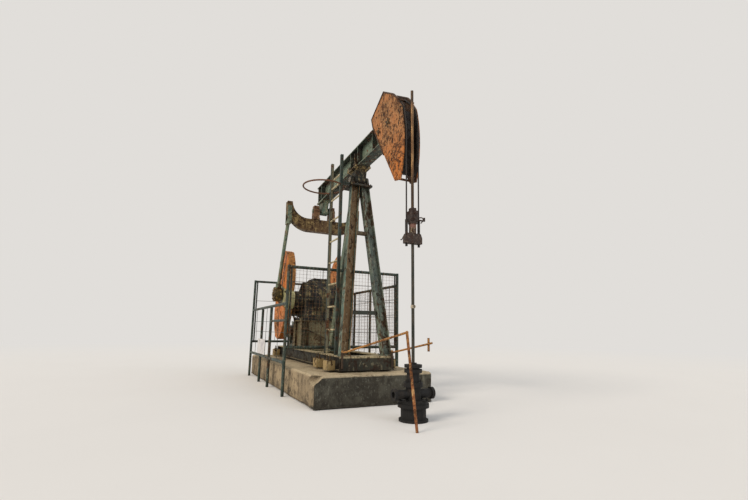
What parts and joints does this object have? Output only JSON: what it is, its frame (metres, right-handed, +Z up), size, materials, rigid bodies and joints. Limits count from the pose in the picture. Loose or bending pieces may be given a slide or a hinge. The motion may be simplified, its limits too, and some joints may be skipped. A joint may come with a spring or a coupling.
{
  "type": "pumpjack",
  "caption": "Crank-balanced beam pumping unit on a concrete base, with rocking beam, horsehead, cranks, gear reducer, motor, ladder, mesh guards and wellhead.",
  "frame": {"origin": "on the ground, at the foot of the concrete base, straight below the saddle bearing's axis", "axes": "+X to the well, +Y to the right-hand side seen from the tail, +Z up"},
  "size_m": [5.2499, 1.742, 3.8],
  "materials": {
    "concrete": "rough, stained and chipped",
    "skid_paint": "dark paint with grease and rust",
    "block_paint": "dusty tan paint",
    "green_paint": "weathered grey-green paint with rust",
    "brown_paint": "faded brown paint",
    "dark_paint": "oily dark paint",
    "ladder_paint": "worn paint, tan with dust on the rungs",
    "pedestal_paint": "brown-grey paint with oil stains",
    "greasy_iron": "black with grease",
    "motor_paint": "faded green paint",
    "guard_paint": "dull dark green paint",
    "well_iron": "oily rusted iron",
    "barrier_paint": "orange paint with rust",
    "orange_paint": "orange paint, faded and rusted",
    "crank_paint": "brown-orange paint with oil",
    "rusted_steel": "dark rust and grease",
    "worn_steel": "bright worn steel with oil",
    "wire_rope": "greased dark wire rope"
  },
  "bodies": {
    "frame": {"concrete_base": "concrete", "skid_beams": "skid_paint", "skid_cross_members": "skid_paint", "hold_downs": "block_paint", "post_leg_left": "green_paint", "post_leg_right": "green_paint", "post_leg_rear": "green_paint", "post_braces": "brown_paint", "post_cap": "dark_paint", "saddle_shaft": "worn_steel", "ladder": "ladder_paint", "reducer_pedestal": "pedestal_paint", "gear_reducer": "greasy_iron", "belt_guard": "orange_paint", "motor": "motor_paint", "brake": "dark_paint", "guard_posts": "guard_paint", "guard_front": "guard_paint", "guard_left": "guard_paint", "guard_right": "guard_paint", "guard_rear": "guard_paint", "well_casing": "well_iron", "flow_tee": "well_iron", "stuffing_box": "greasy_iron", "well_barrier": "barrier_paint"},
    "beam": {"walking_beam": "green_paint", "saddle_bearing": "brown_paint", "tail_bracket": "green_paint", "horsehead": "orange_paint", "head_track": "rusted_steel", "head_pins": "dark_paint"},
    "equalizer": {"equalizer_beam": "brown_paint", "equalizer_bearings": "brown_paint", "pitmans": "green_paint", "wrist_bearings": "dark_paint"},
    "cranks": {"crank_shaft": "worn_steel", "crank_arms": "crank_paint", "weights_left": "orange_paint", "weights_right": "orange_paint"},
    "rod": {"bridle_ropes": "wire_rope", "carrier_bar": "greasy_iron", "rod_spacer": "brown_paint", "rod_clamp": "greasy_iron", "polished_rod": "worn_steel", "rod_string": "worn_steel"}
  },
  "joints": [
    {"name": "crank_turn", "type": "hinge", "parent": "frame", "child": "cranks", "pos_m": [-1.68, 0, 1.35], "axis": [0, -1, 0], "range_deg": [-78.9, 91.4]},
    {"name": "beam_rock", "type": "hinge", "parent": "frame", "child": "beam", "pos_m": [0, 0, 2.97], "axis": [0, -1, 0], "range_deg": [-15.3, 17.7]},
    {"name": "equalizer_swing", "type": "hinge", "parent": "beam", "child": "equalizer", "pos_m": [-1.5505, 0, 2.9004], "axis": [0, -1, 0], "range_deg": [-17.7, 15.3]},
    {"name": "rod_slide", "type": "slide", "parent": "frame", "child": "rod", "axis": [0, 0, 1], "range_m": [-0.4, 0.465]}
  ],
  "couplings": [
    {"joint": "beam_rock", "follows": "crank_turn", "ratio": 0.1923},
    {"joint": "equalizer_swing", "follows": "crank_turn", "ratio": -0.1923},
    {"joint": "rod_slide", "follows": "crank_turn", "m_per_rad": 0.2872}
  ]
}
